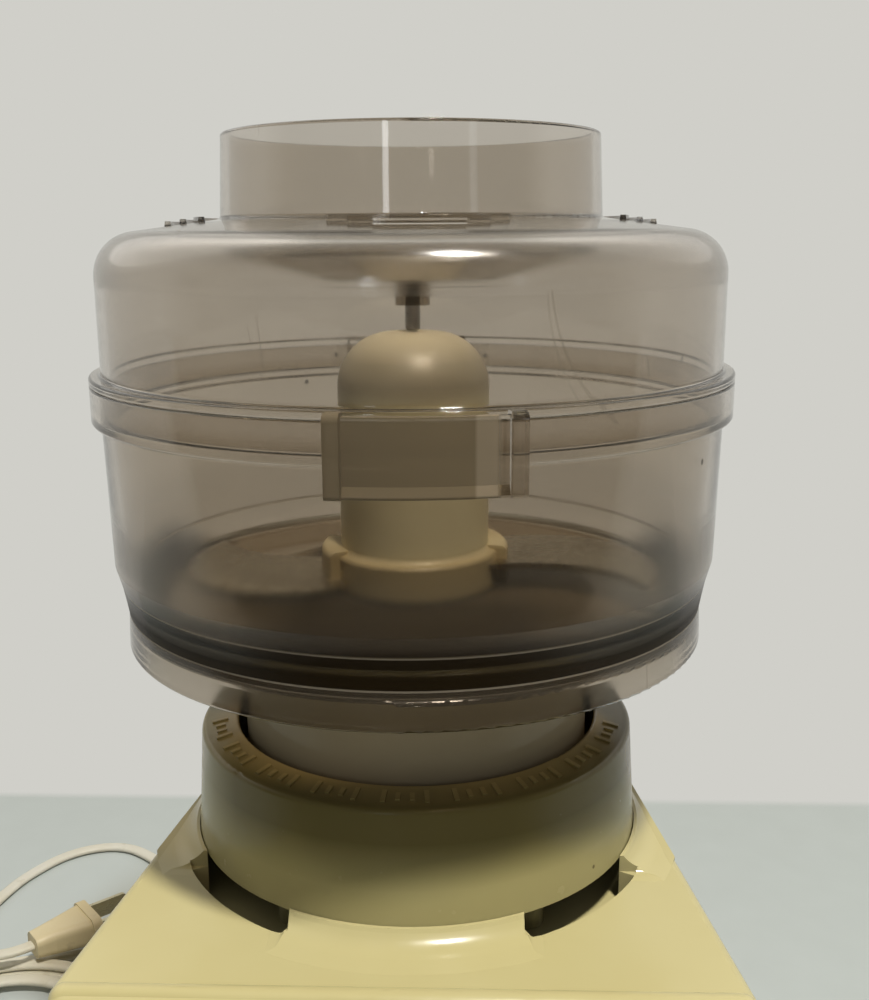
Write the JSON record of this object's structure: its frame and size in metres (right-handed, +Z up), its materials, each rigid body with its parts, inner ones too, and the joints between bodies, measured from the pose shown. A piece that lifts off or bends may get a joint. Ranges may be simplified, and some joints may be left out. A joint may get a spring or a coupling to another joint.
{
  "type": "food processor",
  "caption": "Food processor bowl with a smoky lid, blade hub and reduction gears on a blender-style motor base with a mains lead.",
  "frame": {"origin": "on the table, under the shared vertical axis of bowl, gears and motor, at the middle of the base's footprint", "axes": "+Z up, -Y the front with the controls, +X to the right seen from the front"},
  "size_m": [0.2949, 0.2907, 0.2948],
  "materials": {
    "housing_plastic": "glossy pale yellow moulding",
    "collar_plastic": "glossy yellow moulding",
    "plate_plastic": "satin",
    "foot_rubber": "matt",
    "screw_steel": "zinc plated",
    "bracket_metal": "as cast",
    "bush_bronze": "sintered",
    "lamination_steel": "stacked sheets",
    "coil_copper": "enamelled wire",
    "commutator_copper": "turned",
    "shaft_steel": "ground",
    "pin_steel": "dull grey",
    "brush_carbon": "carbon block",
    "phenolic": "moulded phenolic",
    "fan_plastic": "moulded",
    "panel_metal": "brushed trim",
    "button_plastic": "glossy cream",
    "off_button_plastic": "glossy rust red",
    "smoke_plastic": "clear smoky",
    "gear_case_plastic": "off-white nylon",
    "gear_plastic": "white nylon",
    "seal_rubber": "matt",
    "hub_plastic": "satin cream moulding",
    "blade_steel": "stamped, ground edge",
    "cord_vinyl": "soft cream vinyl",
    "plug_vinyl": "moulded vinyl",
    "prong_brass": "dull brass"
  },
  "bodies": {
    "base": {"base_housing": "housing_plastic", "base_plate": "plate_plastic", "feet": "foot_rubber", "plate_screws": "screw_steel", "collar_ring": "collar_plastic", "motor_top_bracket": "bracket_metal", "motor_bottom_bracket": "bracket_metal", "motor_bearings": "bush_bronze", "motor_bolts": "screw_steel", "mount_screws": "screw_steel", "motor_stator": "lamination_steel", "field_coils": "coil_copper", "carbon_brushes": "brush_carbon", "brush_holders": "phenolic", "front_panel": "panel_metal", "switch_block": "phenolic", "switch_screws": "screw_steel", "cord_lead": "cord_vinyl", "cord_tail": "cord_vinyl", "cord_coil": "cord_vinyl", "strain_relief": "cord_vinyl", "plug_body": "plug_vinyl", "plug_prongs": "prong_brass"},
    "rotor": {"motor_shaft": "shaft_steel", "drive_stud": "shaft_steel", "rotor_core": "lamination_steel", "rotor_windings": "coil_copper", "commutator": "commutator_copper", "cooling_fan": "fan_plastic"},
    "bowl_assembly": {"bowl": "smoke_plastic", "gear_cover": "gear_case_plastic", "cover_screws": "screw_steel", "ring_gear": "gear_case_plastic", "input_bush": "bush_bronze", "output_bushes": "bush_bronze", "shaft_seal": "seal_rubber"},
    "input_drive": {"input_coupling": "shaft_steel", "sun_gear": "gear_plastic"},
    "output_drive": {"planet_carrier": "shaft_steel", "planet_pins": "shaft_steel", "blade_hub": "hub_plastic", "blade_low": "blade_steel", "blade_high": "blade_steel"},
    "lid_assembly": {"lid": "smoke_plastic", "lid_pin": "pin_steel"},
    "off_key": {"off_button": "off_button_plastic"},
    "range_key": {"range_slider": "button_plastic"},
    "speed_key_1": {"speed_button_1": "button_plastic"},
    "speed_key_2": {"speed_button_2": "button_plastic"},
    "speed_key_3": {"speed_button_3": "button_plastic"},
    "speed_key_4": {"speed_button_4": "button_plastic"},
    "speed_key_5": {"speed_button_5": "button_plastic"},
    "planet_1": {"planet_gear_1": "gear_plastic"},
    "planet_2": {"planet_gear_2": "gear_plastic"},
    "planet_3": {"planet_gear_3": "gear_plastic"}
  },
  "joints": [
    {"name": "motor_spin", "type": "hinge", "parent": "base", "child": "rotor", "pos_m": [0, 0, 0.07], "axis": [0, 0, 1], "continuous": true},
    {"name": "bowl_lift", "type": "slide", "parent": "base", "child": "bowl_assembly", "axis": [0, 0, 1], "range_m": [0, 0.06]},
    {"name": "input_spin", "type": "hinge", "parent": "bowl_assembly", "child": "input_drive", "pos_m": [0, 0, 0.15], "axis": [0, 0, 1], "continuous": true},
    {"name": "blade_spin", "type": "hinge", "parent": "bowl_assembly", "child": "output_drive", "pos_m": [0, 0, 0.2], "axis": [0, 0, 1], "continuous": true},
    {"name": "planet_1_spin", "type": "hinge", "parent": "output_drive", "child": "planet_1", "pos_m": [0.01875, 0, 0.163], "axis": [0, 0, 1], "continuous": true},
    {"name": "planet_2_spin", "type": "hinge", "parent": "output_drive", "child": "planet_2", "pos_m": [-0.00937, 0.01624, 0.163], "axis": [0, 0, 1], "continuous": true},
    {"name": "planet_3_spin", "type": "hinge", "parent": "output_drive", "child": "planet_3", "pos_m": [-0.00937, -0.01624, 0.163], "axis": [0, 0, 1], "continuous": true},
    {"name": "lid_lift", "type": "slide", "parent": "bowl_assembly", "child": "lid_assembly", "axis": [0, 0, 1], "range_m": [0, 0.08]},
    {"name": "off_key_press", "type": "slide", "parent": "base", "child": "off_key", "axis": [0, 0.9825, -0.1863], "range_m": [0, 0.0035], "stiffness_N_per_m": 400},
    {"name": "speed_key_1_press", "type": "slide", "parent": "base", "child": "speed_key_1", "axis": [0, 0.9825, -0.1863], "range_m": [0, 0.0035], "stiffness_N_per_m": 400},
    {"name": "speed_key_2_press", "type": "slide", "parent": "base", "child": "speed_key_2", "axis": [0, 0.9825, -0.1863], "range_m": [0, 0.0035], "stiffness_N_per_m": 400},
    {"name": "speed_key_3_press", "type": "slide", "parent": "base", "child": "speed_key_3", "axis": [0, 0.9825, -0.1863], "range_m": [0, 0.0035], "stiffness_N_per_m": 400},
    {"name": "speed_key_4_press", "type": "slide", "parent": "base", "child": "speed_key_4", "axis": [0, 0.9825, -0.1863], "range_m": [0, 0.0035], "stiffness_N_per_m": 400},
    {"name": "speed_key_5_press", "type": "slide", "parent": "base", "child": "speed_key_5", "axis": [0, 0.9825, -0.1863], "range_m": [0, 0.0035], "stiffness_N_per_m": 400},
    {"name": "range_key_slide", "type": "slide", "parent": "base", "child": "range_key", "axis": [1, 0, 0], "range_m": [0, 0.008]}
  ],
  "couplings": [
    {"joint": "input_spin", "follows": "motor_spin", "ratio": 1},
    {"joint": "blade_spin", "follows": "motor_spin", "ratio": 0.2},
    {"joint": "planet_1_spin", "follows": "motor_spin", "ratio": -0.53333},
    {"joint": "planet_2_spin", "follows": "motor_spin", "ratio": -0.53333},
    {"joint": "planet_3_spin", "follows": "motor_spin", "ratio": -0.53333}
  ]
}
